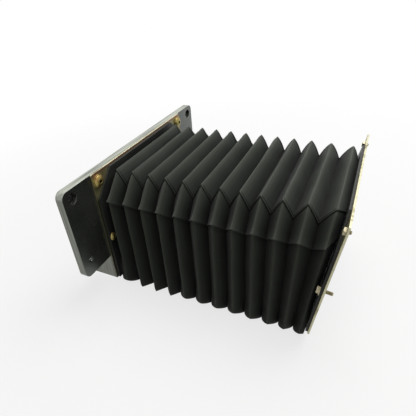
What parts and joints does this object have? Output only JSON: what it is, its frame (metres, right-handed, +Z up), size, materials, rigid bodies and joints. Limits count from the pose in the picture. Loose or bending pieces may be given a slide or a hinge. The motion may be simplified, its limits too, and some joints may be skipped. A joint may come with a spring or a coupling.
{
  "type": "bellows way cover",
  "caption": "Folding way cover: black inverted-U bellows with cut corners on stiffening frames, between an eared mounting bracket and a free end flange with studs.",
  "frame": {"origin": "centre of the cover's outline on the surface it stands on, under the lower edges of the folds", "axes": "+X along the travel from the mounting bracket to the free end, +Z up"},
  "size_m": [0.2342, 0.22, 0.124],
  "materials": {
    "bracket_metal": "ground and polished face, brushed edges",
    "yellow_zinc": "yellow passivated zinc plate",
    "black_sheet": "satin",
    "frame_sheet": "matt",
    "coated_fabric": "matt rubber-coated fabric",
    "brass_screws": "yellow passivated",
    "zinc_screws": "pale yellow passivated zinc plate"
  },
  "bodies": {
    "fixed_end": {"mounting_bracket": "bracket_metal", "fixed_flange": "yellow_zinc", "fixed_end_frame": "black_sheet", "corner_screws": "brass_screws", "corner_washers": "brass_screws", "side_screws": "brass_screws", "bellows": "coated_fabric"},
    "moving_end": {"moving_end_frame": "black_sheet", "moving_flange": "yellow_zinc", "end_screws": "zinc_screws", "end_washers": "zinc_screws"},
    "fold_01": {"fold_frame_01": "frame_sheet"},
    "fold_02": {"fold_frame_02": "frame_sheet"},
    "fold_03": {"fold_frame_03": "frame_sheet"},
    "fold_04": {"fold_frame_04": "frame_sheet"},
    "fold_05": {"fold_frame_05": "frame_sheet"},
    "fold_06": {"fold_frame_06": "frame_sheet"},
    "fold_07": {"fold_frame_07": "frame_sheet"},
    "fold_08": {"fold_frame_08": "frame_sheet"},
    "fold_09": {"fold_frame_09": "frame_sheet"},
    "fold_10": {"fold_frame_10": "frame_sheet"},
    "fold_11": {"fold_frame_11": "frame_sheet"},
    "fold_12": {"fold_frame_12": "frame_sheet"}
  },
  "joints": [
    {"name": "travel", "type": "slide", "parent": "fixed_end", "child": "moving_end", "axis": [1, 0, 0], "range_m": [-0.113, 0.0335], "deforming": ["bellows"]},
    {"name": "fold_01_slide", "type": "slide", "parent": "fixed_end", "child": "fold_01", "axis": [1, 0, 0], "range_m": [-0.00102, 0.00031]},
    {"name": "fold_02_slide", "type": "slide", "parent": "fixed_end", "child": "fold_02", "axis": [1, 0, 0], "range_m": [-0.01152, 0.00342]},
    {"name": "fold_03_slide", "type": "slide", "parent": "fixed_end", "child": "fold_03", "axis": [1, 0, 0], "range_m": [-0.02201, 0.00654]},
    {"name": "fold_04_slide", "type": "slide", "parent": "fixed_end", "child": "fold_04", "axis": [1, 0, 0], "range_m": [-0.03252, 0.00965]},
    {"name": "fold_05_slide", "type": "slide", "parent": "fixed_end", "child": "fold_05", "axis": [1, 0, 0], "range_m": [-0.04302, 0.01276]},
    {"name": "fold_06_slide", "type": "slide", "parent": "fixed_end", "child": "fold_06", "axis": [1, 0, 0], "range_m": [-0.05351, 0.01588]},
    {"name": "fold_07_slide", "type": "slide", "parent": "fixed_end", "child": "fold_07", "axis": [1, 0, 0], "range_m": [-0.06402, 0.01899]},
    {"name": "fold_08_slide", "type": "slide", "parent": "fixed_end", "child": "fold_08", "axis": [1, 0, 0], "range_m": [-0.07451, 0.0221]},
    {"name": "fold_09_slide", "type": "slide", "parent": "fixed_end", "child": "fold_09", "axis": [1, 0, 0], "range_m": [-0.08501, 0.02521]},
    {"name": "fold_10_slide", "type": "slide", "parent": "fixed_end", "child": "fold_10", "axis": [1, 0, 0], "range_m": [-0.09552, 0.02833]},
    {"name": "fold_11_slide", "type": "slide", "parent": "fixed_end", "child": "fold_11", "axis": [1, 0, 0], "range_m": [-0.10452, 0.031]},
    {"name": "fold_12_slide", "type": "slide", "parent": "fixed_end", "child": "fold_12", "axis": [1, 0, 0], "range_m": [-0.11201, 0.03322]}
  ],
  "couplings": [
    {"joint": "fold_01_slide", "follows": "travel", "ratio": 0.00885},
    {"joint": "fold_02_slide", "follows": "travel", "ratio": 0.10177},
    {"joint": "fold_03_slide", "follows": "travel", "ratio": 0.19469},
    {"joint": "fold_04_slide", "follows": "travel", "ratio": 0.28761},
    {"joint": "fold_05_slide", "follows": "travel", "ratio": 0.38053},
    {"joint": "fold_06_slide", "follows": "travel", "ratio": 0.47345},
    {"joint": "fold_07_slide", "follows": "travel", "ratio": 0.56637},
    {"joint": "fold_08_slide", "follows": "travel", "ratio": 0.65929},
    {"joint": "fold_09_slide", "follows": "travel", "ratio": 0.75221},
    {"joint": "fold_10_slide", "follows": "travel", "ratio": 0.84513},
    {"joint": "fold_11_slide", "follows": "travel", "ratio": 0.92478},
    {"joint": "fold_12_slide", "follows": "travel", "ratio": 0.99115}
  ]
}
